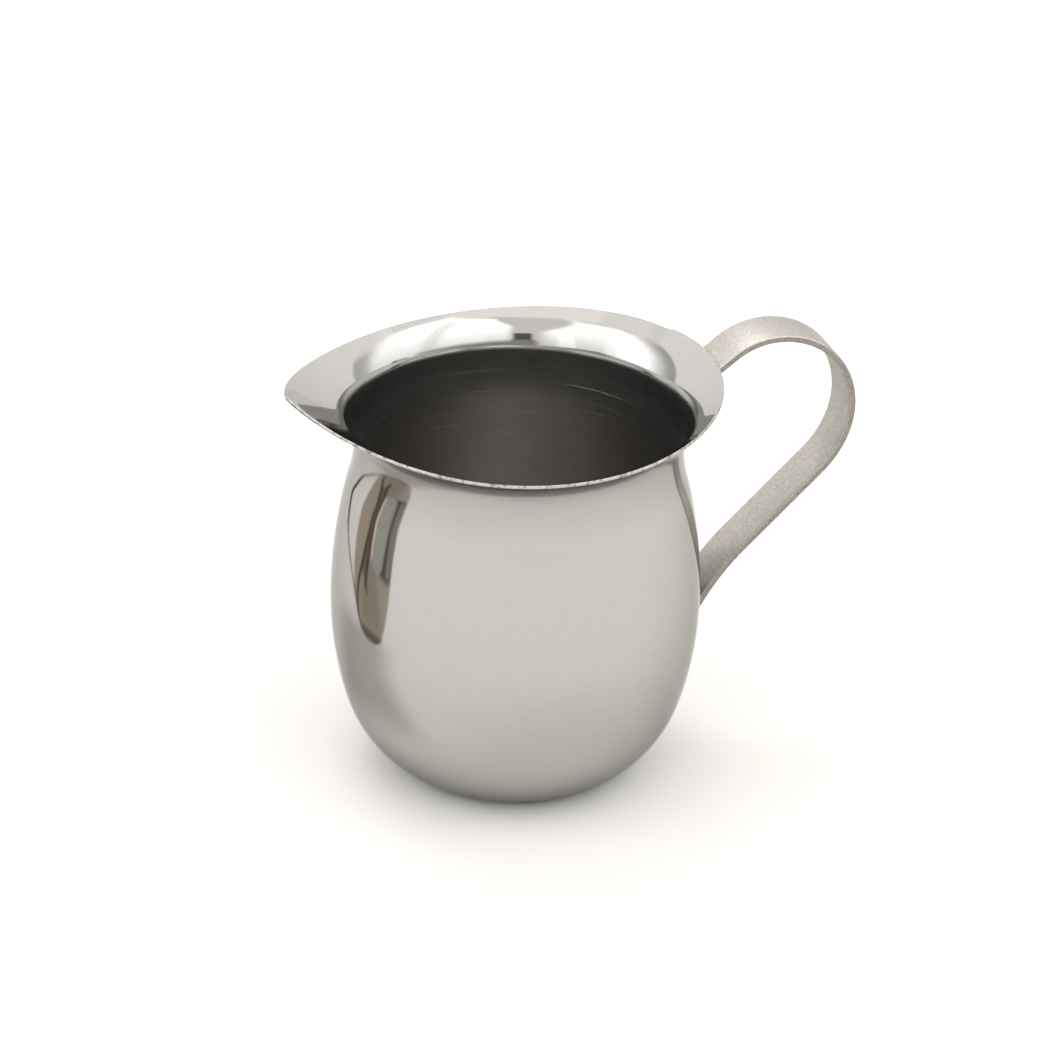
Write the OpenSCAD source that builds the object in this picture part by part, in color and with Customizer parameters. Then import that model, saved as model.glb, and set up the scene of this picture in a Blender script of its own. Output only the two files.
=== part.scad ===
// Small bell pitcher in stainless steel: a spun one-piece shell with a flared rim and a pouring
// beak, and a bent strap handle fixed to the neck and to the belly with spot welds.
// +Z up, origin at the centre of the base, handle toward +X, beak toward -X. Millimetres.

/* [Body] */
// Largest outside diameter, at the belly
belly_diameter = 62; // [58:0.5:70]
// Sheet thickness of the shell
wall = 0.5; // [0.4:0.05:0.8]
// Profile radius of the corner between the base and the lower belly
base_corner_radius = 9; // [7:0.5:11]
// Profile radius of the lower belly
lower_belly_radius = 22; // [20:0.5:24]
// Profile radius of the belly just below its widest line
belly_radius = 61; // [56:1:66]
// Profile radius of the shoulder above the widest line
shoulder_radius = 92; // [88:1:96]
// Profile radius of the hollow neck
neck_radius = 22; // [20:0.5:24]
// Profile radius where the neck turns out into the flare
flare_radius = 8; // [7:0.5:10]
// Slope of the flared rim above the horizontal, in degrees
flare_angle = 35; // [32:1:38]

/* [Rim] */
// Reach of the rim from the axis toward either side
rim_side_reach = 31.6; // [31.4:0.1:33]
// Reach of the rim from the axis toward the handle
rim_handle_reach = 34.2; // [33:0.1:36]
// Reach of the pouring beak from the axis
beak_reach = 41.5; // [38:0.5:45]
// Exponent of the beak outline: a lower one makes a blunter beak
beak_exponent = 0.73; // [0.65:0.01:0.85]

/* [Handle] */
// Width of the strap
strap_width = 8; // [6:0.5:10]
// Thickness of the strap
strap_thickness = 1.2; // [0.8:0.1:1.4]
// Straight run of the strap past the rim before it bends over
crown_run = 3.1; // [2:0.1:3.4]
// Outer radius of the bend at the top of the handle
crown_radius = 12.7; // [12:0.1:13.5]
// Outer radius of the loop
loop_radius = 15.3; // [14.6:0.1:15.8]
// Outer radius of the knee between the loop and the leg
knee_radius = 17; // [15:0.5:20]
// Slope of the straight leg above the horizontal, in degrees
leg_slope = 42; // [41:0.5:43]

/* [Spot welds] */
// Diameter of one spot weld
weld_diameter = 2.6; // [2:0.1:3.2]
// Distance between the two spot welds at each end of the strap
weld_pitch = 4; // [3.4:0.1:4.4]

/* [Hidden] */
$fn = 180;

// Slope of the shell's profile, in degrees from the horizontal, where one arc passes into the next
lower_belly_slope = 37;
belly_slope = 73;
neck_slope = 104;
flare_slope = 81;
// Gap between the strap's tabs and the shell outside the welds
fit_gap = 0.03;
// Slope of the neck where the upper tab begins, and polar angles of the lower tab on the belly arc
upper_tab_slope = 102;
lower_tab_top = 11;
lower_tab_end = 16.5;
// Outer radii of the two bends from the lower tab to the leg, and the slope between them
tab_bend_radius = 9;
leg_bend_radius = 40;
leg_bend_slope = 58;
// Polar angle where the loop passes into the knee
knee_angle = -22;
// Number of straight steps along one quarter of the rim's outline
rim_steps = 30;
// Largest gap between a profile's arc and the straight steps that follow it
arc_sagitta = 0.01;
// Height above every part of the shell
above_all = 100;

function dir(a) = [cos(a), sin(a)];
function right_of(a) = [sin(a), -cos(a)];
function dot(a, b) = a[0] * b[0] + a[1] * b[1];

// Shell profile: arc centres c1 to c6 in the plane of radius and height, each tangent to the next
base_radius = belly_diameter / 2 - base_corner_radius * sin(lower_belly_slope)
    - lower_belly_radius * (sin(belly_slope) - sin(lower_belly_slope))
    - belly_radius * (1 - sin(belly_slope));
c1 = [base_radius, base_corner_radius];
c2 = c1 + (base_corner_radius - lower_belly_radius) * right_of(lower_belly_slope);
c3 = c2 + (lower_belly_radius - belly_radius) * right_of(belly_slope);
c4 = c3 + (belly_radius - shoulder_radius) * right_of(90);
c5 = c4 + (shoulder_radius + neck_radius) * right_of(neck_slope);
c6 = c5 + (flare_radius - neck_radius) * right_of(flare_slope);
flare_start = c6 - flare_radius * right_of(flare_angle);
flare_length = (beak_reach + 2 - flare_start[0]) / cos(flare_angle);

// Strap path from the upper tab: along the flare, past the rim, over the crown and round the loop
rim_run = (rim_handle_reach - flare_start[0]) / cos(flare_angle) + crown_run;
strap_start = c6 - (flare_radius - fit_gap) * right_of(flare_angle);
crown_start = strap_start + rim_run * dir(flare_angle);
crown_centre = crown_start + crown_radius * right_of(flare_angle);
loop_centre = crown_centre + [0, crown_radius - loop_radius];
knee_centre = loop_centre + (loop_radius - knee_radius) * dir(knee_angle);
leg_angle = leg_slope - 90;
leg_top = knee_centre + knee_radius * dir(leg_angle);

// Strap path from the lower tab up: a short rise, two bends and the leg. The rise closes the path
tab_heading = 90 - lower_tab_top;
tab_top = c3 + (belly_radius + fit_gap) * dir(-lower_tab_top);
bend_foot = tab_top + (tab_bend_radius + strap_thickness) * right_of(tab_heading);
leg_foot = bend_foot - (leg_bend_radius - tab_bend_radius) * dir(leg_bend_slope + 90)
    + leg_bend_radius * dir(leg_slope + 90);
tab_rise = dot(leg_top - leg_foot, dir(leg_angle)) / dot(dir(tab_heading), dir(leg_angle));
bend_centre = bend_foot + tab_rise * dir(tab_heading);
leg_bend_centre = bend_centre - (leg_bend_radius - tab_bend_radius) * dir(leg_bend_slope + 90);

// Heights of the middles of the two welded tabs
upper_weld_height = c5[1];
lower_weld_angle = (lower_tab_top + lower_tab_end) / 2;

function arc_steps(radius, sweep) = ceil(abs(sweep) / (2 * acos(1 - arc_sagitta / radius)));

// Points of an arc about a centre, from one polar angle to another
function arc(centre, radius, from, to) =
    let (n = arc_steps(radius, to - from))
        [for (i = [0 : n]) centre + radius * dir(from + (to - from) * i / n)];

function turned(points) = [for (i = [len(points) - 1 : -1 : 0]) points[i]];

// One face of the shell's wall, from the axis to past the rim. Depth 0 is the outer face
function shell_face(depth) = concat(
    [[0, depth]],
    arc(c1, base_corner_radius - depth, -90, lower_belly_slope - 90),
    arc(c2, lower_belly_radius - depth, lower_belly_slope - 90, belly_slope - 90),
    arc(c3, belly_radius - depth, belly_slope - 90, 0),
    arc(c4, shoulder_radius - depth, 0, neck_slope - 90),
    arc(c5, neck_radius + depth, neck_slope + 90, flare_slope + 90),
    arc(c6, flare_radius + depth, flare_slope + 90, flare_angle + 90),
    [flare_start + flare_length * dir(flare_angle) - depth * right_of(flare_angle)]);

// Plan of the rim: half an ellipse on the handle side and a drawn-out beak on the other
module rim_plan() {
    handle_side = [for (i = [-rim_steps : rim_steps])
        [rim_handle_reach * cos(i * 90 / rim_steps), rim_side_reach * sin(i * 90 / rim_steps)]];
    beak_side = [for (i = [1 : 2 * rim_steps - 1])
        let (t = sin(i * 90 / rim_steps), side = i < rim_steps ? 1 : -1)
            [-beak_reach * t, side * rim_side_reach * pow(1 - t * t, beak_exponent)]];
    polygon(concat(handle_side, beak_side));
}

module body_shell() {
    color([0.78, 0.77, 0.75])
        intersection() {
            rotate_extrude() polygon(concat(shell_face(0), turned(shell_face(wall))));
            linear_extrude(above_all) rim_plan();
        }
}

// One face of the strap, from the upper tab round to the lower tab. Depth 0 is the face toward the
// shell at the upper tab, which is the outer face of the loop
function strap_face(depth) = concat(
    arc(c5, neck_radius - fit_gap - depth, upper_tab_slope + 90, flare_slope + 90),
    arc(c6, flare_radius - fit_gap - depth, flare_slope + 90, flare_angle + 90),
    arc(crown_centre, crown_radius - depth, flare_angle + 90, 90),
    arc(loop_centre, loop_radius - depth, 90, knee_angle),
    arc(knee_centre, knee_radius - depth, knee_angle, leg_angle),
    arc(leg_bend_centre, leg_bend_radius + depth, leg_slope + 90, leg_bend_slope + 90),
    arc(bend_centre, tab_bend_radius + depth, leg_bend_slope + 90, tab_heading + 90),
    arc(c3, belly_radius + fit_gap + strap_thickness - depth, -lower_tab_top, -lower_tab_end));

module handle_strap() {
    color([0.76, 0.74, 0.71])
        rotate([90, 0, 0])
            linear_extrude(strap_width, center = true)
                polygon(concat(strap_face(0), turned(strap_face(strap_thickness))));
}

// One spot weld: a short round nugget through the strap and into the shell's wall
module weld_nugget(depth) {
    rotate([0, -90, 0]) cylinder(h = depth, d = weld_diameter);
}

module upper_spot_welds() {
    depth = strap_thickness + fit_gap + wall / 2;
    color([0.66, 0.64, 0.6])
        for (side = [-1, 1])
            translate([c5[0] - neck_radius + fit_gap + strap_thickness, 0,
                upper_weld_height + side * weld_pitch / 2])
                weld_nugget(depth);
}

module lower_spot_welds() {
    depth = strap_thickness + fit_gap + wall / 2;
    outer_face = belly_radius + fit_gap + strap_thickness;
    color([0.66, 0.64, 0.6])
        for (side = [-1, 1])
            let (a = lower_weld_angle + side * asin(weld_pitch / 2 / outer_face),
                face = c3 + outer_face * dir(-a))
                translate([face[0], 0, face[1]])
                    rotate([0, a, 0])
                        weld_nugget(depth);
}

body_shell();
handle_strap();
upper_spot_welds();
lower_spot_welds();
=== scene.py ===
"""Small bell pitcher in stainless steel: a smooth spun shell, a bent strap handle and spot welds.

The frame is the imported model's: +Z up, handle toward +X, beak toward -X. Lengths are in metres,
and in millimetres where a comment says so. Angles are in degrees.
"""

import math

import bmesh
import bpy
from mathutils import Matrix, Vector, noise


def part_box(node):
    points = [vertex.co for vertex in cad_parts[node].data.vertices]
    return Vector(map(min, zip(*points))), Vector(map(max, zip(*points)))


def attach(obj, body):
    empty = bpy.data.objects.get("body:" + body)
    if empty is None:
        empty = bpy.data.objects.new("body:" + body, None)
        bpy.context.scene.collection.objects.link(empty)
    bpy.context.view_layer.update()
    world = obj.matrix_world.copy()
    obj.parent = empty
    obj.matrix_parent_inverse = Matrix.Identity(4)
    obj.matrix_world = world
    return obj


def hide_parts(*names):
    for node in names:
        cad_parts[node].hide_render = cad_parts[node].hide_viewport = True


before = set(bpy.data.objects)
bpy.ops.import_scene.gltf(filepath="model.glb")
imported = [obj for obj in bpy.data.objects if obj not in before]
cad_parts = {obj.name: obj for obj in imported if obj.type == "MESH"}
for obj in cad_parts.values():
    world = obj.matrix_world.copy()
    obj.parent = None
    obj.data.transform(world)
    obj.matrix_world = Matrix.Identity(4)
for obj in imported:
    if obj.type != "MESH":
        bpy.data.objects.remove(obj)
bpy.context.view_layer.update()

MM = 0.001

# Camera: far off with a long lens, above the rim and round toward the beak
CAMERA_DISTANCE = 1.6
CAMERA_ELEVATION = 30.07
CAMERA_AZIMUTH = -22.16
CAMERA_ROLL = 1.48
CAMERA_LENS = 324.2
CAMERA_SENSOR_WIDTH = 36
CAMERA_CLIP_END = 20
AIM_SIDEWAYS = 1.36 * MM
AIM_HEIGHT = 43.5 * MM

# Shell: the profile's arcs from the base up, each tangent to the next
BELLY_DIAMETER = 62 * MM
WALL = 0.5 * MM
BASE_CORNER_RADIUS = 9 * MM
LOWER_BELLY_RADIUS = 22 * MM
BELLY_RADIUS = 61 * MM
SHOULDER_RADIUS = 92 * MM
NECK_RADIUS = 22 * MM
FLARE_RADIUS = 8 * MM
LOWER_BELLY_SLOPE = 37
BELLY_SLOPE = 73
NECK_SLOPE = 104
FLARE_SLOPE = 81
FLARE_ANGLE = 35
FLARE_STEPS = 8

# Rim, as seen from above
RIM_SIDE_REACH = 31.6 * MM
RIM_HANDLE_REACH = 34.2 * MM
BEAK_REACH = -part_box("body_shell")[0].x
BEAK_EXPONENT = 0.73
RIM_EDGE_RADIUS = 0.16 * MM
RIM_QUARTER_STEPS = 64

# Strap: its path from the tab on the neck, over the crown and round the loop to the belly
STRAP_WIDTH = 8 * MM
STRAP_THICKNESS = 1.2 * MM
STRAP_EDGE_RADIUS = 0.3 * MM
TAB_CORNER_RADIUS = 2 * MM
CROWN_RUN = 3.1 * MM
CROWN_RADIUS = 12.7 * MM
LOOP_RADIUS = 15.3 * MM
KNEE_RADIUS = 17 * MM
KNEE_ANGLE = -22
LEG_SLOPE = 42
LEG_BEND_RADIUS = 40 * MM
LEG_BEND_SLOPE = 58
TAB_BEND_RADIUS = 9 * MM
UPPER_TAB_SLOPE = 102
LOWER_TAB_TOP = 11
LOWER_TAB_END = 16.5
FIT_GAP = 0.03 * MM

# Each tab is bent round the wall over its last stretch, and the bend fades out beyond that. Its end
# is cut back by this share of the corner radius on each side
TAB_HUG_LENGTH = 7 * MM
TAB_HUG_FADE = 6 * MM
TAB_CORNER_CUT = 0.95

# Spot welds
WELD_DIAMETER = 2.6 * MM
WELD_PITCH = 4 * MM
WELD_STAND = 0.05 * MM
WELD_SIDES = 40
WELD_WOBBLE = 0.02
# From the middle out: share of the radius, and height as a share of how far the weld stands out
WELD_RINGS = ((0.00, -0.3), (0.25, -0.32), (0.45, -0.5), (0.6, 0.1), (0.72, 0.9), (0.82, 1.0),
              (0.92, 0.6), (1.0, -0.6))

# Materials, by the order in which they are given to a mesh
OUTSIDE, CUT_EDGE, INSIDE = 0, 1, 2
STRAP_FACE, STRAP_SIDE = 0, 1


# ---------- plane geometry: radius and height ----------

def sine(angle):
    return math.sin(math.radians(angle))


def towards(angle):
    return Vector((math.cos(math.radians(angle)), math.sin(math.radians(angle))))


def right_of(heading):
    return Vector((math.sin(math.radians(heading)), -math.cos(math.radians(heading))))


def arc(centre, radius, start, end, step=2.0):
    """Points of an arc about a centre, from one polar angle to another."""
    count = max(2, math.ceil(abs(end - start) / step))
    return [centre + radius * towards(start + (end - start) * i / count) for i in range(count + 1)]


def line(start, end, count):
    return [start.lerp(end, i / count) for i in range(count + 1)]


def joined(*runs):
    """Runs of points as one path, without the points that two runs share."""
    path = []
    for run in runs:
        for point in run:
            if not path or (point - path[-1]).length > 0.001 * MM:
                path.append(point)
    return path


# The reach of the flat base, and the centres of the profile's arcs from the base up
BASE_REACH = (BELLY_DIAMETER / 2 - BASE_CORNER_RADIUS * sine(LOWER_BELLY_SLOPE)
              - LOWER_BELLY_RADIUS * (sine(BELLY_SLOPE) - sine(LOWER_BELLY_SLOPE))
              - BELLY_RADIUS * (1 - sine(BELLY_SLOPE)))
C1 = Vector((BASE_REACH, BASE_CORNER_RADIUS))
C2 = C1 + (BASE_CORNER_RADIUS - LOWER_BELLY_RADIUS) * right_of(LOWER_BELLY_SLOPE)
C3 = C2 + (LOWER_BELLY_RADIUS - BELLY_RADIUS) * right_of(BELLY_SLOPE)
C4 = C3 + (BELLY_RADIUS - SHOULDER_RADIUS) * right_of(90)
C5 = C4 + (SHOULDER_RADIUS + NECK_RADIUS) * right_of(NECK_SLOPE)
C6 = C5 + (FLARE_RADIUS - NECK_RADIUS) * right_of(FLARE_SLOPE)


# ---------- shell ----------

def shell_face(depth):
    """One face of the wall, from the flat base to where the flare turns straight."""
    return joined(
        arc(C1, BASE_CORNER_RADIUS - depth, -90, LOWER_BELLY_SLOPE - 90, 3),
        arc(C2, LOWER_BELLY_RADIUS - depth, LOWER_BELLY_SLOPE - 90, BELLY_SLOPE - 90, 2),
        arc(C3, BELLY_RADIUS - depth, BELLY_SLOPE - 90, 0, 1),
        arc(C4, SHOULDER_RADIUS - depth, 0, NECK_SLOPE - 90, 0.7),
        arc(C5, NECK_RADIUS + depth, NECK_SLOPE + 90, FLARE_SLOPE + 90, 1.5),
        arc(C6, FLARE_RADIUS + depth, FLARE_SLOPE + 90, FLARE_ANGLE + 90, 2))


def rim_plan(steps):
    """Plan of the rim: half an ellipse on the handle side and a drawn-out beak on the other."""
    points = []
    for i in range(-steps, steps):
        turn = math.pi / 2 * i / steps
        points.append(Vector((RIM_HANDLE_REACH * math.cos(turn), RIM_SIDE_REACH * math.sin(turn))))
    for i in range(2 * steps):
        reach = math.sin(math.pi / 2 * i / steps)
        side = 1 if i < steps else -1
        width = RIM_SIDE_REACH * max(0.0, 1 - reach * reach) ** BEAK_EXPONENT
        points.append(Vector((-BEAK_REACH * reach, side * width)))
    return points


def flare_run(face, reach):
    """The straight flare beyond a face's last point, out to a reach from the axis."""
    start = face[-1]
    length = (reach - start.x) / math.cos(math.radians(FLARE_ANGLE))
    return line(start, start + length * towards(FLARE_ANGLE), FLARE_STEPS)[1:]


def shell_column(outer, inner, reach):
    """The wall's section in one direction: outside, cut edge and inside, each a list of points."""
    outside = outer + flare_run(outer, reach - RIM_EDGE_RADIUS)
    inside = inner + flare_run(inner, reach - RIM_EDGE_RADIUS)
    across = (inside[-1] - outside[-1]).normalized()
    outward = towards(FLARE_ANGLE)
    low_centre = outside[-1] + across * RIM_EDGE_RADIUS
    high_centre = inside[-1] - across * RIM_EDGE_RADIUS
    edge = []
    for centre, angles in ((low_centre, (-60, -30, 0)), (high_centre, (0, 30, 60))):
        for angle in angles:
            edge.append(centre + RIM_EDGE_RADIUS * (outward * math.cos(math.radians(angle))
                                                    + across * math.sin(math.radians(angle))))
    return outside, edge, inside[::-1]


def make_object(name, vertices, faces, materials, zones=None):
    mesh = bpy.data.meshes.new(name)
    mesh.from_pydata(vertices, [], faces)
    for material in materials:
        mesh.materials.append(material)
    if zones:
        mesh.polygons.foreach_set("material_index", zones)
    mesh.polygons.foreach_set("use_smooth", [True] * len(mesh.polygons))
    mesh.validate()
    obj = bpy.data.objects.new(name, mesh)
    bpy.context.scene.collection.objects.link(obj)
    return obj


def make_shell(materials):
    """The wall as one column of points in each direction, closed by a fan under and over the base."""
    outer = [Vector((BASE_REACH * 0.5, 0))] + shell_face(0)
    inner = [Vector((BASE_REACH * 0.5, WALL))] + shell_face(WALL)
    vertices = [(0, 0, 0)]
    row_zones = []
    plan = rim_plan(RIM_QUARTER_STEPS)
    for point in plan:
        outside, edge, inside = shell_column(outer, inner, point.length)
        direction = point.normalized()
        for r, z in outside + edge + inside:
            vertices.append((r * direction.x, r * direction.y, z))
        row_zones = ([OUTSIDE] * len(outside) + [CUT_EDGE] * len(edge)
                     + [INSIDE] * len(inside))
    vertices.append((0, 0, WALL))
    rows = len(row_zones)
    faces = []
    zones = []
    for column in range(len(plan)):
        a = 1 + column * rows
        b = 1 + (column + 1) % len(plan) * rows
        faces.append((0, b, a))
        zones.append(OUTSIDE)
        for row in range(rows - 1):
            faces.append((a + row, b + row, b + row + 1, a + row + 1))
            zones.append(CUT_EDGE if CUT_EDGE in row_zones[row:row + 2] else row_zones[row])
        faces.append((a + rows - 1, b + rows - 1, len(vertices) - 1))
        zones.append(INSIDE)
    return make_object("pitcher_shell", vertices, faces, materials, zones)


# ---------- strap ----------

def strap_top():
    """The straight run over the flare, then the centres of the crown, the loop and the knee."""
    flare_end = C6 - FLARE_RADIUS * right_of(FLARE_ANGLE)
    run = (RIM_HANDLE_REACH - flare_end.x) / math.cos(math.radians(FLARE_ANGLE)) + CROWN_RUN
    run_start = C6 - (FLARE_RADIUS - FIT_GAP) * right_of(FLARE_ANGLE)
    run_end = run_start + run * towards(FLARE_ANGLE)
    crown = run_end + CROWN_RADIUS * right_of(FLARE_ANGLE)
    loop = crown + Vector((0, CROWN_RADIUS - LOOP_RADIUS))
    knee = loop + (LOOP_RADIUS - KNEE_RADIUS) * towards(KNEE_ANGLE)
    return run_start, run_end, crown, loop, knee


def strap_foot(leg_top):
    """The leg's lower end, the centres of the two bends below it, and the rise above the tab."""
    tab_heading = 90 - LOWER_TAB_TOP
    leg_angle = LEG_SLOPE - 90
    tab_top = C3 + (BELLY_RADIUS + FIT_GAP) * towards(-LOWER_TAB_TOP)
    tab_bend = tab_top + (TAB_BEND_RADIUS + STRAP_THICKNESS) * right_of(tab_heading)
    leg_bend = tab_bend - (LEG_BEND_RADIUS - TAB_BEND_RADIUS) * towards(LEG_BEND_SLOPE + 90)
    leg_foot = leg_bend + LEG_BEND_RADIUS * towards(LEG_SLOPE + 90)
    length = ((leg_top - leg_foot).dot(towards(leg_angle))
              / towards(tab_heading).dot(towards(leg_angle)))
    rise = length * towards(tab_heading)
    return leg_foot + rise, leg_bend + rise, tab_bend + rise, rise


def strap_path():
    """The face of the strap that lies against the neck, as points from the upper tab to the lower."""
    run_start, run_end, crown, loop, knee = strap_top()
    leg_angle = LEG_SLOPE - 90
    leg_top = knee + KNEE_RADIUS * towards(leg_angle)
    leg_end, leg_bend, tab_bend, rise = strap_foot(leg_top)
    tab_heading = 90 - LOWER_TAB_TOP
    bend_end = tab_bend + TAB_BEND_RADIUS * towards(tab_heading + 90)
    return joined(
        arc(C5, NECK_RADIUS - FIT_GAP, UPPER_TAB_SLOPE + 90, FLARE_SLOPE + 90, 1.5),
        arc(C6, FLARE_RADIUS - FIT_GAP, FLARE_SLOPE + 90, FLARE_ANGLE + 90, 3),
        line(run_start, run_end, 12),
        arc(crown, CROWN_RADIUS, FLARE_ANGLE + 90, 90, 2),
        arc(loop, LOOP_RADIUS, 90, KNEE_ANGLE, 2),
        arc(knee, KNEE_RADIUS, KNEE_ANGLE, leg_angle, 2),
        line(leg_top, leg_end, 30),
        arc(leg_bend, LEG_BEND_RADIUS, LEG_SLOPE + 90, LEG_BEND_SLOPE + 90, 1),
        arc(tab_bend, TAB_BEND_RADIUS, LEG_BEND_SLOPE + 90, tab_heading + 90, 3),
        line(bend_end, bend_end - rise, 4),
        arc(C3, BELLY_RADIUS + FIT_GAP + STRAP_THICKNESS, -LOWER_TAB_TOP, -LOWER_TAB_END, 0.5))


def strap_section(half_width):
    """Rounded section of the strap: across its width, and into its thickness from one face."""
    section = []
    for side, depth, start in ((1, 0, 90), (1, 1, 0), (-1, 1, -90), (-1, 0, 180)):
        centre = Vector((side * (half_width - STRAP_EDGE_RADIUS),
                         -(STRAP_EDGE_RADIUS + depth * (STRAP_THICKNESS - 2 * STRAP_EDGE_RADIUS))))
        section += arc(centre, STRAP_EDGE_RADIUS, start, start - 90, 22.5)
    return section


def smoothstep(value):
    value = min(1.0, max(0.0, value))
    return value * value * (3 - 2 * value)


def strap_rings(path):
    """The strap's section at each point of its path, narrowed to rounded corners at both ends."""
    lengths = [0.0]
    for a, b in zip(path, path[1:]):
        lengths.append(lengths[-1] + (b - a).length)
    rings = []
    for index, point in enumerate(path):
        before, after = path[max(0, index - 1)], path[min(len(path) - 1, index + 1)]
        heading = (after - before).normalized()
        normal = Vector((-heading.y, heading.x))
        from_end = min(lengths[index], lengths[-1] - lengths[index])
        corner = max(0.0, TAB_CORNER_RADIUS - from_end)
        inset = TAB_CORNER_RADIUS - math.sqrt(max(0.0, TAB_CORNER_RADIUS ** 2 - corner ** 2))
        hug = 1 - smoothstep((from_end - TAB_HUG_LENGTH) / TAB_HUG_FADE)
        ring = []
        for across, depth in strap_section(STRAP_WIDTH / 2 - inset * TAB_CORNER_CUT):
            place = point + normal * depth
            wrap = hug * across * across / (2 * point.x)
            ring.append((place.x - wrap, across, place.y))
        rings.append(ring)
    return rings


def make_strap(materials):
    rings = strap_rings(strap_path())
    around = len(rings[0])
    # The faces of each ring on the strap's two cut sides, with the start of the rounding. These take
    # the darker copy of the strap's steel, which is painted shade
    side_faces = (3, 4, 5, 13, 14, 15)
    faces = []
    zones = []
    for index in range(len(rings) - 1):
        for k in range(around):
            a = index * around + k
            b = index * around + (k + 1) % around
            faces.append((a, a + around, b + around, b))
            zones.append(STRAP_SIDE if k in side_faces else STRAP_FACE)
    last = (len(rings) - 1) * around
    faces.append(tuple(range(around)))
    faces.append(tuple(range(last, last + around))[::-1])
    zones += [STRAP_SIDE, STRAP_SIDE]
    vertices = [corner for ring in rings for corner in ring]
    return make_object("strap_handle", vertices, faces, materials, zones)


# ---------- spot welds ----------

def turn_faces_outward(mesh):
    bm = bmesh.new()
    bm.from_mesh(mesh)
    bmesh.ops.recalc_face_normals(bm, faces=bm.faces)
    bm.to_mesh(mesh)
    bm.free()


def make_weld(name, centre, axis, depth, material):
    """One weld seen from outside: a pressed ring round a low button, on a plug into the wall."""
    side = axis.cross(Vector((0, 1, 0))).normalized()
    up = side.cross(axis)
    vertices = [centre + axis * (WELD_RINGS[0][1] * WELD_STAND)]
    for share, height in WELD_RINGS[1:] + ((1.0, -depth / WELD_STAND),):
        for k in range(WELD_SIDES):
            turn = 2 * math.pi * k / WELD_SIDES
            spot = Vector((math.cos(turn), math.sin(turn), centre.z * 300))
            radius = WELD_DIAMETER / 2 * share * (1 + WELD_WOBBLE * noise.noise(spot))
            vertices.append(centre + axis * (height * WELD_STAND)
                            + (side * math.cos(turn) + up * math.sin(turn)) * radius)
    vertices.append(centre - axis * depth)
    faces = []
    foot = 1 + (len(WELD_RINGS) - 1) * WELD_SIDES
    for k in range(WELD_SIDES):
        after = (k + 1) % WELD_SIDES
        faces.append((0, 1 + k, 1 + after))
        for a in range(1, foot, WELD_SIDES):
            faces.append((a + k, a + WELD_SIDES + k, a + WELD_SIDES + after, a + after))
        faces.append((foot + after, foot + k, len(vertices) - 1))
    weld = make_object(name, vertices, faces, [material])
    turn_faces_outward(weld.data)
    return weld


def make_welds(material):
    upper_reach = C5.x - NECK_RADIUS + FIT_GAP + STRAP_THICKNESS
    depth = STRAP_THICKNESS + FIT_GAP + WALL / 2
    welds = []
    for index, shift in enumerate((-0.5, 0.5)):
        height = C5.y + shift * WELD_PITCH
        inward = NECK_RADIUS - FIT_GAP - STRAP_THICKNESS
        reach = upper_reach + inward - math.sqrt(inward ** 2 - (shift * WELD_PITCH) ** 2)
        centre = Vector((reach, 0, height))
        welds.append(("upper_spot_welds",
                      make_weld("upper_weld_%d" % index, centre, Vector((1, 0, 0)), depth, material)))
    outer = BELLY_RADIUS + FIT_GAP + STRAP_THICKNESS
    middle = -(LOWER_TAB_TOP + LOWER_TAB_END) / 2
    spread = math.degrees(math.asin(WELD_PITCH / 2 / outer))
    for index, side in enumerate((-1, 1)):
        point = C3 + outer * towards(middle + side * spread)
        axis = towards(middle + side * spread)
        welds.append(("lower_spot_welds",
                      make_weld("lower_weld_%d" % index, Vector((point.x, 0, point.y)),
                                Vector((axis.x, 0, axis.y)), depth, material)))
    return welds


# ---------- materials ----------
# Noise scales are per millimetre, and heights are in millimetres above the base

def link_node(tree, kind, inputs=None, output=0, **settings):
    """Add a node, give it its settings and inputs, and return one of its outputs."""
    node = tree.nodes.new(kind)
    for name, value in settings.items():
        setattr(node, name, value)
    for key, value in (inputs or {}).items():
        if isinstance(value, bpy.types.NodeSocket):
            tree.links.new(value, node.inputs[key])
        else:
            node.inputs[key].default_value = value
    return None if output is None else node.outputs[output]


GLANCING_TINT = (0.62, 0.62, 0.62, 1)


def new_metal(name):
    """A bare metal, with the tree and shader to finish it and the place on it in millimetres."""
    material = bpy.data.materials.new(name)
    material.use_nodes = True
    tree = material.node_tree
    shader = tree.nodes["Principled BSDF"]
    shader.inputs["Metallic"].default_value = 1.0
    shader.inputs["Specular Tint"].default_value = GLANCING_TINT
    place = link_node(tree, "ShaderNodeTexCoord", output="Object")
    millimetres = link_node(tree, "ShaderNodeVectorMath", {0: place, "Scale": 1 / MM},
                            operation="SCALE")
    return material, tree, shader, millimetres


def stretched(tree, place, scale):
    return link_node(tree, "ShaderNodeMapping", {"Vector": place, "Scale": scale})


def noise_value(tree, place, scale, detail=2.0, roughness=0.5):
    return link_node(tree, "ShaderNodeTexNoise",
                     {"Vector": place, "Scale": scale, "Detail": detail, "Roughness": roughness})


def span(tree, value, low, high, to_low, to_high):
    """A value moved from one range to another, and held inside it."""
    return link_node(tree, "ShaderNodeMapRange",
                     {"Value": value, "From Min": low, "From Max": high,
                      "To Min": to_low, "To Max": to_high})


def combined(tree, operation, first, second):
    return link_node(tree, "ShaderNodeMath", {0: first, 1: second}, operation=operation)


def bumped(tree, height, distance, strength, below=None):
    """A normal raised by a height, on top of another bump where there is one."""
    inputs = {"Height": height, "Distance": distance, "Strength": strength}
    if below is not None:
        inputs["Normal"] = below
    return link_node(tree, "ShaderNodeBump", inputs)


def tinted(tree, factor, first, second):
    return link_node(tree, "ShaderNodeMix", {0: factor, 6: first, 7: second}, output=2,
                     data_type="RGBA")


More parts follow.
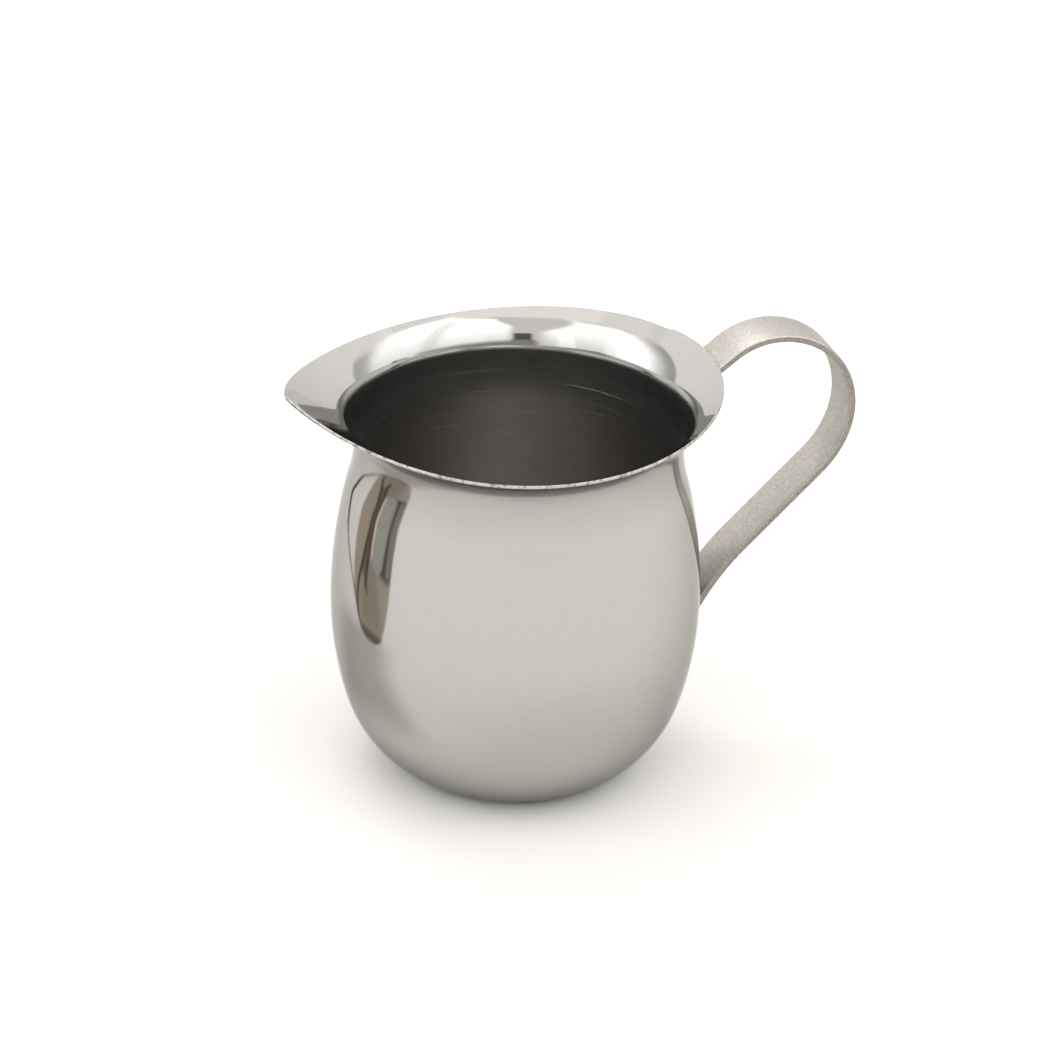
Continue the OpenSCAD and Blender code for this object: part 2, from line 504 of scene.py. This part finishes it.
def cylinder_place(tree, millimetres):
    """Reach from the axis, turn about it in radians and height, for lines left by spinning."""
    parts = tree.nodes.new("ShaderNodeSeparateXYZ")
    tree.links.new(millimetres, parts.inputs[0])
    turn = link_node(tree, "ShaderNodeMath", {0: parts.outputs[1], 1: parts.outputs[0]},
                     operation="ARCTAN2")
    flat = link_node(tree, "ShaderNodeCombineXYZ", {0: parts.outputs[0], 1: parts.outputs[1]})
    reach = link_node(tree, "ShaderNodeVectorMath", {0: flat}, output="Value", operation="LENGTH")
    return link_node(tree, "ShaderNodeCombineXYZ", {0: reach, 1: turn, 2: parts.outputs[2]})


def outside_steel():
    """Polished, a little rougher on the neck, with painted shade that darkens the neck and the
    underside of the flare.
    """
    material, tree, shader, place = new_metal("polished_outside")
    smear = noise_value(tree, place, 0.06, 4.0, 0.6)
    lines = noise_value(tree, stretched(tree, place, (0.05, 0.05, 4.0)), 1.0, 3.0)
    grain = noise_value(tree, place, 3.5, 2.0)
    colour = tinted(tree, span(tree, grain, 0.3, 0.7, 0.0, 1.0),
                    (0.435, 0.428, 0.413, 1), (0.476, 0.467, 0.446, 1))
    height = link_node(tree, "ShaderNodeSeparateXYZ", {0: place}, output=2)
    # Painted shade: the base colour darkens from 54 to 62 mm up the neck, and from 68 mm up the flare
    # keeps half of it
    painted_neck_shade = combined(tree, "SUBTRACT", span(tree, height, 54.0, 62.0, 0.0, 1.0),
                    span(tree, height, 66.0, 68.0, 0.0, 0.5))
    tree.links.new(tinted(tree, painted_neck_shade, colour, (0.40, 0.393, 0.378, 1)),
                   shader.inputs["Base Color"])
    rough = combined(tree, "ADD", span(tree, smear, 0.3, 0.7, 0.04, 0.09),
                     span(tree, height, 60.0, 66.0, 0.0, 0.2))
    tree.links.new(rough, shader.inputs["Roughness"])
    wave = bumped(tree, noise_value(tree, place, 0.12, 1.0), 0.02 * MM, 0.5)
    fine = bumped(tree, grain, 0.003 * MM, 0.6, wave)
    tree.links.new(bumped(tree, lines, 0.0006 * MM, 0.5, fine), shader.inputs["Normal"])
    return material


def inside_steel():
    """Polished on the flare. Below the neck it is rough and darker, with the marks of spinning round
    it, and painted shade darkens it most just below the neck.
    """
    material, tree, shader, place = new_metal("spun_inside")
    around = cylinder_place(tree, place)
    height = link_node(tree, "ShaderNodeSeparateXYZ", {0: place}, output=2)
    polish = span(tree, height, 57.5, 63.6, 0.0, 1.0)
    raw = combined(tree, "SUBTRACT", 1.0, polish)
    rings = noise_value(tree, stretched(tree, around, (0.0, 0.7, 1.0)), 4.0, 4.0, 0.7)
    marks = noise_value(tree, stretched(tree, around, (0.0, 1.1, 3.5)), 1.0, 1.0)
    scratch = span(tree, marks, 0.66, 0.72, 0.0, 1.0)
    near_neck = combined(tree, "SUBTRACT", span(tree, height, 44.0, 50.0, 0.0, 1.0),
                         span(tree, height, 57.0, 60.0, 0.0, 1.0))
    scratch = combined(tree, "MULTIPLY", scratch, near_neck)
    grain = noise_value(tree, place, 3.0, 2.0)
    spun = tinted(tree, span(tree, rings, 0.3, 0.7, 0.0, 1.0),
                  (0.325, 0.313, 0.297, 1), (0.40, 0.387, 0.37, 1))
    clear = tinted(tree, span(tree, grain, 0.3, 0.7, 0.0, 1.0),
                   (0.445, 0.44, 0.43, 1), (0.465, 0.46, 0.45, 1))
    # Painted shade: from 50 to 58 mm, just below the neck, the spun colour darkens
    painted_shade_below_neck = tinted(tree, span(tree, height, 50.0, 58.0, 0.0, 1.0), spun, (0.26, 0.262, 0.258, 1))
    metal = tinted(tree, polish, painted_shade_below_neck, clear)
    tree.links.new(tinted(tree, scratch, metal, (0.62, 0.61, 0.59, 1)),
                   shader.inputs["Base Color"])
    shader.inputs["Metallic"].default_value = 0.98
    tree.links.new(span(tree, polish, 0.0, 1.0, 0.36, 0.045), shader.inputs["Roughness"])
    fine = bumped(tree, grain, 0.002 * MM, 0.5)
    lined = bumped(tree, rings, 0.012 * MM, combined(tree, "MULTIPLY", raw, 0.8), fine)
    tree.links.new(bumped(tree, scratch, 0.02 * MM, 0.8, lined), shader.inputs["Normal"])
    return material


def cut_edge_steel():
    """The rim's cut edge, bright with small dark nicks."""
    material, tree, shader, place = new_metal("cut_edge")
    nicks = noise_value(tree, place, 1.3, 3.0, 0.6)
    colour = tinted(tree, span(tree, nicks, 0.5, 0.64, 0.0, 1.0),
                    (0.52, 0.51, 0.49, 1), (0.20, 0.195, 0.185, 1))
    tree.links.new(colour, shader.inputs["Base Color"])
    tree.links.new(span(tree, nicks, 0.3, 0.7, 0.25, 0.45), shader.inputs["Roughness"])
    tree.links.new(bumped(tree, nicks, 0.03 * MM, 0.6), shader.inputs["Normal"])
    return material


def satin_steel(name, low, high):
    """Dull rolled strip, mottled between two colours, with faint lines along it."""
    material, tree, shader, place = new_metal(name)
    grain = noise_value(tree, place, 2.2, 4.0, 0.7)
    patches = noise_value(tree, place, 0.25, 3.0)
    along = noise_value(tree, stretched(tree, place, (0.3, 5.0, 0.3)), 1.0, 3.0)
    colour = tinted(tree, span(tree, grain, 0.35, 0.65, 0.0, 1.0),
                    (*low, 1), (*high, 1))
    tree.links.new(colour, shader.inputs["Base Color"])
    tree.links.new(span(tree, patches, 0.3, 0.7, 0.38, 0.47), shader.inputs["Roughness"])
    rough = bumped(tree, grain, 0.02 * MM, 0.6)
    tree.links.new(bumped(tree, along, 0.006 * MM, 0.5, rough), shader.inputs["Normal"])
    return material


def weld_steel():
    """Steel with a straw tint where the weld heated it."""
    material, tree, shader, place = new_metal("weld_mark")
    heat = noise_value(tree, place, 0.9, 3.0)
    colour = tinted(tree, span(tree, heat, 0.35, 0.65, 0.0, 1.0),
                    (0.34, 0.31, 0.27, 1), (0.46, 0.44, 0.42, 1))
    tree.links.new(colour, shader.inputs["Base Color"])
    tree.links.new(span(tree, heat, 0.3, 0.7, 0.30, 0.5), shader.inputs["Roughness"])
    tree.links.new(bumped(tree, noise_value(tree, place, 6.0, 3.0), 0.02 * MM, 0.6),
                   shader.inputs["Normal"])
    return material


def floor_material():
    material = bpy.data.materials.new("pale_floor")
    material.use_nodes = True
    tree = material.node_tree
    shader = tree.nodes["Principled BSDF"]
    shader.inputs["Base Color"].default_value = FLOOR_COLOUR
    shader.inputs["Roughness"].default_value = 0.9
    shader.inputs["Specular IOR Level"].default_value = 0.1
    return material


# ---------- surroundings ----------

FLOOR_COLOUR = (0.70, 0.693, 0.676, 1)
FLOOR_HALF_WIDTH = 3.0

# The studio round the object, as patches that stand round the horizon, laid one over the other on
# the sky. Each has a colour, the share of it left at the horizon, its left and right edges and
# their softness, and its top as the elevation at the left edge, at the right edge and the softness.
# Turns are from the direction of the camera, and positive to its right
PATCHES = (
    ((1.46, 1.41, 1.36), 1, (-180, 1), (180, 1), (66, 66, 1)),  # walls
    ((1.18, 1.14, 1.10), 1, (-46, 6), (36, 3), (69, 69, 3)),  # room
    ((0.70, 0.69, 0.68), 1, (-118, 2), (-98, 2), (44, 52, 8)),  # left gap
    ((2.25, 2.22, 2.20), 0.8, (-102, 12), (-54, 3), (53, 65, 3)),  # left panel
    ((2.30, 2.30, 2.28), 0.5, (-57, 3), (-15, 7), (67, 38, 4)),  # left end
    ((2.70, 2.68, 2.65), 0.85, (-93, 4), (-66, 4), (57, 62, 2)),  # left core
    ((2.70, 2.70, 2.70), 0.6, (-36, 1.5), (-24, 3), (46, 40, 4)),  # left bright
    ((0.84, 0.84, 0.83), 1, (112, 6), (130.5, 2.5), (34, 28, 7)),  # right gap
    ((2.40, 2.40, 2.38), 0.5, (8, 4), (26, 2), (49, 63, 3)),  # right start
    ((2.50, 2.48, 2.45), 0.58, (24, 2), (84, 2), (64, 67, 2)),  # right panel
    ((2.50, 2.48, 2.45), 0.6, (82, 2), (112, 12), (67, 49, 2)),  # right end
    ((1.95, 1.93, 1.90), 0.66, (57, 5), (70, 4), (60, 60, 8)),  # right seam
    ((0.15, 0.15, 0.15), 1, (-7, 2), (5.5, 2), (32, 32, 1.5)),  # centre gap
    ((0.33, 0.33, 0.32), 1, (-9, 2.5), (7, 2), (17, 17, 3)),  # centre foot
    ((0.45, 0.44, 0.42), 1, (-10, 5), (74, 4), (16, 9, 5)),  # front
)
# The elevation at which a patch has all of its colour
FULL_ELEVATION = 42
# A soft light behind the object to the left, above all that the rim mirrors: its turns, its
# elevations and the softness of each
LIGHT_COLOUR = (4.9, 4.87, 4.84, 1)
LIGHT_TURNS = (-178, -124, 4)
LIGHT_ELEVATIONS = (49, 72, 2)
ZENITH_COLOUR = (1.64, 1.56, 1.48, 1)


# A painted reflection of a dark neighbour standing to the left: a card seen only in reflections, that
# glows in soft strokes painted one over the other and is bent round the object. Its reach and heights
# are in millimetres. Its foot lies on the floor, where height is negative and runs toward the object,
# and carries the neighbour's painted shadow. Each stroke has a colour, the softness of its sides in
# degrees and of its ends in millimetres, and rows of height, left turn and right turn
NEIGHBOUR_REACH = 85
NEIGHBOUR_HEIGHTS = (-54, 60)
NEIGHBOUR_TURNS = (-134, -32)
NEIGHBOUR_STEP = 0.25
NEIGHBOUR_FLOOR_GAP = 0.1
STROKES = (
    # The first stroke, on the foot, is the neighbour's painted shadow on the floor
    ((0.74, 0.70, 0.65), 26, 16, ((-46, -108, -46), (-34, -108, -60), (-20, -112, -70),
                                  (0, -112, -72))),
    ((0.60, 0.52, 0.42), 0.6, 1.5, ((-4, -87, -80), (-1, -91.5, -77.2), (3.5, -95, -74.2),
                                    (11, -99.6, -71.4), (21, -103, -69.8), (33, -105, -69.8),
                                    (60, -105, -70.2))),
    ((0.46, 0.39, 0.31), 6.0, 8, ((3, -91, -75), (12, -93, -76), (24, -92, -80), (60, -98, -84))),
    ((0.20, 0.165, 0.13), 2.0, 3, ((-4, -87, -80), (-1, -92, -76.5), (2, -94, -75))),
    ((0.28, 0.25, 0.17), 1.0, 2, ((19, -93.5, -90), (60, -92.5, -90))),
    ((0.56, 0.56, 0.49), 1.0, 3, ((25, -86, -78), (60, -86, -76))),
    ((0.13, 0.13, 0.12), 1.8, 3, ((24.5, -79, -72), (28, -77, -73.8), (60, -76.5, -74))),
    ((0.34, 0.35, 0.33), 1.2, 3, ((27.5, -74, -71), (60, -74, -71))),
    ((0.14, 0.14, 0.13), 0.7, 3, ((24.5, -74.5, -70.4), (28, -71.2, -70.3), (60, -71, -70.3))),
    ((0.10, 0.085, 0.06), 0.9, 2, ((-1, -91.5, -90), (3, -95, -93.4), (10, -97, -95.2),
                                   (15, -97, -95), (22, -95.2, -93), (29, -94, -91.8),
                                   (36, -93, -91.4), (60, -93, -91.2))),
    ((0.14, 0.105, 0.095), 1.2, 2, ((14, -88.4, -86.5), (18, -90.6, -88), (28, -90.6, -87.9),
                                    (60, -91, -88.4))),
    ((1.45, 1.25, 1.0), 0.8, 2, ((27, -86.8, -86.1), (32, -87.7, -86.6), (60, -88.2, -87.0))),
    ((1.30, 1.27, 1.22), 1.2, 2, ((13, -104.4, -103.0), (24, -106, -104.4), (60, -106.5, -105))),
    ((0.16, 0.135, 0.115), 0.9, 2, ((2, -95, -93.5), (9, -99.4, -97.8), (12.4, -102.8, -100.8),
                                    (16.6, -108.8, -106.2), (19.6, -114.5, -111.5),
                                    (22, -119.5, -116), (26.5, -123.5, -119.8),
                                    (31, -126, -122))),
)


def make_floor():
    half = FLOOR_HALF_WIDTH
    corners = [(-half, -half, 0), (half, -half, 0), (half, half, 0), (-half, half, 0)]
    floor = make_object("floor", corners, [(0, 1, 2, 3)], [floor_material()])


def painted_glow():
    """Glow in the mesh's painted colour, and clear where the paint is."""
    material = bpy.data.materials.new("painted_reflection_glow")
    material.use_nodes = True
    tree = material.node_tree
    tree.nodes.clear()
    paint = tree.nodes.new("ShaderNodeAttribute")
    paint.attribute_name = "paint"
    clear = link_node(tree, "ShaderNodeBsdfTransparent")
    glow = link_node(tree, "ShaderNodeEmission", {"Color": paint.outputs["Color"]})
    both = link_node(tree, "ShaderNodeMixShader", {0: paint.outputs["Alpha"], 1: clear, 2: glow})
    link_node(tree, "ShaderNodeOutputMaterial", {"Surface": both}, output=None)
    return material


def row_edge(rows, side, height):
    """A stroke's left or right edge at a height, on a smooth curve through its rows."""
    height = min(rows[-1][0], max(rows[0][0], height))
    index = max(i for i in range(len(rows) - 1) if rows[i][0] <= height)
    slopes = []
    for i in (index, index + 1):
        a, b = rows[max(0, i - 1)], rows[min(len(rows) - 1, i + 1)]
        slopes.append((b[side] - a[side]) / (b[0] - a[0]))
    first, second = rows[index], rows[index + 1]
    gap = second[0] - first[0]
    t = (height - first[0]) / gap
    return ((1 + 2 * t) * (1 - t) ** 2 * first[side] + t * (1 - t) ** 2 * gap * slopes[0]
            + t * t * (3 - 2 * t) * second[side] + t * t * (t - 1) * gap * slopes[1])


def stroke_cover(softness, end, rows, turn, height):
    """How much of a place one stroke covers, from 0 to 1."""
    if height < rows[0][0] - end or height > rows[-1][0] + end:
        return 0.0
    left = row_edge(rows, 1, height)
    right = row_edge(rows, 2, height)
    return (smoothstep((turn - left) / softness + 0.5) * smoothstep((right - turn) / softness + 0.5)
            * smoothstep((height - rows[0][0]) / end + 0.5)
            * smoothstep((rows[-1][0] - height) / end + 0.5))


def painted_colour(turn, height):
    """All the strokes at one place, laid over each other, as a colour and how much it covers."""
    colour = Vector((0, 0, 0))
    alpha = 0.0
    for paint, softness, end, rows in STROKES:
        cover = stroke_cover(softness, end, rows, turn, height)
        if cover > 0:
            before = alpha * (1 - cover)
            alpha = before + cover
            colour = (colour * before + Vector(paint) * cover) / alpha
    return (*colour, alpha)


def hide_from_all_but_reflections(card):
    card.visible_camera = False
    card.visible_diffuse = False
    card.visible_shadow = False
    card.visible_transmission = False


def make_neighbour_painted_reflection():
    """A card that glows dimly as a painted reflection, bent round the object and seen only in
    reflections.
    """
    columns = round((NEIGHBOUR_TURNS[1] - NEIGHBOUR_TURNS[0]) / NEIGHBOUR_STEP)
    heights = range(NEIGHBOUR_HEIGHTS[0], NEIGHBOUR_HEIGHTS[1] + 1)
    vertices = []
    colours = []
    for height in heights:
        for column in range(columns + 1):
            turn = NEIGHBOUR_TURNS[0] + column * NEIGHBOUR_STEP
            heading = towards(turn - 90 + CAMERA_AZIMUTH)
            place = heading * (NEIGHBOUR_REACH + min(height, 0)) * MM
            vertices.append((place.x, place.y, max(height, NEIGHBOUR_FLOOR_GAP) * MM))
            colours += painted_colour(turn, height)
    faces = []
    for row in range(len(heights) - 1):
        for column in range(columns):
            a = row * (columns + 1) + column
            b = a + columns + 1
            faces.append((a, a + 1, b + 1, b))
    card = make_object("painted_reflection_card", vertices, faces, [painted_glow()])
    paint = card.data.color_attributes.new("paint", "FLOAT_COLOR", "POINT")
    paint.data.foreach_set("color", colours)
    hide_from_all_but_reflections(card)


def camera_axes():
    """The camera's place, and its right, up and back directions."""
    elevation = math.radians(CAMERA_ELEVATION)
    turn = math.radians(CAMERA_AZIMUTH)
    roll = math.radians(CAMERA_ROLL)
    place = CAMERA_DISTANCE * Vector((math.cos(elevation) * math.sin(turn),
                                      -math.cos(elevation) * math.cos(turn),
                                      math.sin(elevation)))
    aim = Vector((AIM_SIDEWAYS * math.cos(turn), AIM_SIDEWAYS * math.sin(turn), AIM_HEIGHT))
    forward = (aim - place).normalized()
    right = forward.cross(Vector((0, 0, 1))).normalized()
    up = right.cross(forward)
    return (place, right * math.cos(roll) + up * math.sin(roll),
            up * math.cos(roll) - right * math.sin(roll), -forward)


def make_camera():
    place, right, up, back = camera_axes()
    data = bpy.data.cameras.new("camera")
    data.lens = CAMERA_LENS
    data.sensor_width = CAMERA_SENSOR_WIDTH
    data.clip_end = CAMERA_CLIP_END
    camera = bpy.data.objects.new("camera", data)
    camera.matrix_world = Matrix.Translation(place) @ Matrix((right, up, back)).transposed().to_4x4()
    bpy.context.scene.collection.objects.link(camera)
    bpy.context.scene.camera = camera


def soft_step(tree, value, edge, softness):
    """0 below an edge and 1 above it. The value and the edge may themselves be sockets."""
    return link_node(tree, "ShaderNodeMapRange",
                     {"Value": combined(tree, "SUBTRACT", value, edge),
                      "From Min": -softness, "From Max": softness},
                     interpolation_type="SMOOTHSTEP")


def patch_cover(tree, turn, elevation, left, right, top):
    """Where one patch of the studio lies, from 0 to 1."""
    (left_turn, left_soft), (right_turn, right_soft) = left, right
    start, end, top_soft = top
    slant = span(tree, turn, float(left_turn), float(right_turn), float(start), float(end))
    across = combined(tree, "MULTIPLY", soft_step(tree, turn, float(left_turn), left_soft),
                      soft_step(tree, float(right_turn), turn, right_soft))
    return combined(tree, "MULTIPLY", across, soft_step(tree, slant, elevation, top_soft))


def sky_place(tree):
    """The turn from the camera's direction and the elevation of each place in the sky."""
    direction = link_node(tree, "ShaderNodeTexCoord", output="Generated")
    turned = link_node(tree, "ShaderNodeVectorRotate",
                       {"Vector": direction, "Angle": math.radians(-CAMERA_AZIMUTH)},
                       rotation_type="Z_AXIS")
    parts = tree.nodes.new("ShaderNodeSeparateXYZ")
    tree.links.new(turned, parts.inputs[0])
    toward = combined(tree, "MULTIPLY", parts.outputs[1], -1.0)
    turn = combined(tree, "MULTIPLY", math.degrees(1),
                    combined(tree, "ARCTAN2", parts.outputs[0], toward))
    height = link_node(tree, "ShaderNodeMath", {0: parts.outputs[2]}, operation="ARCSINE")
    return turn, combined(tree, "MULTIPLY", math.degrees(1), height)


def make_world():
    """A pale zenith over walls and two large soft panels, with one stronger light behind."""
    world = bpy.data.worlds.new("studio")
    bpy.context.scene.world = world
    world.use_nodes = True
    tree = world.node_tree
    turn, elevation = sky_place(tree)
    climb = span(tree, elevation, 0.0, float(FULL_ELEVATION), 0.0, 1.0)
    colour = ZENITH_COLOUR
    for paint, share, left, right, top in PATCHES:
        foot = (*[part * share for part in paint], 1)
        lit = tinted(tree, climb, foot, (*paint, 1)) if share < 1 else foot
        cover = patch_cover(tree, turn, elevation, left, right, top)
        colour = tinted(tree, cover, colour, lit)
    left, right, soft = LIGHT_TURNS
    low, high, end_soft = LIGHT_ELEVATIONS
    above = soft_step(tree, elevation, float(low), end_soft)
    cover = patch_cover(tree, turn, elevation, (left, soft), (right, soft), (high, high, end_soft))
    colour = tinted(tree, combined(tree, "MULTIPLY", above, cover), colour, LIGHT_COLOUR)
    tree.links.new(colour, tree.nodes["Background"].inputs["Color"])
    bpy.context.scene.view_settings.view_transform = "Standard"


# ---------- assembly ----------

make_camera()
shell = make_shell([outside_steel(), cut_edge_steel(), inside_steel()])
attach(shell, "root")
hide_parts("body_shell")

# The second, darker copy of the strap's steel, on its two cut sides, is painted shade
strap = make_strap([satin_steel("satin_strap", (0.375, 0.36, 0.334), (0.53, 0.508, 0.475)),
                    satin_steel("sheared_edge_painted_shade", (0.21, 0.195, 0.175), (0.34, 0.315, 0.29))])
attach(strap, "root")
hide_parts("handle_strap")

for node_name, weld in make_welds(weld_steel()):
    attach(weld, "root")
    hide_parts(node_name)

make_floor()
make_neighbour_painted_reflection()
make_world()
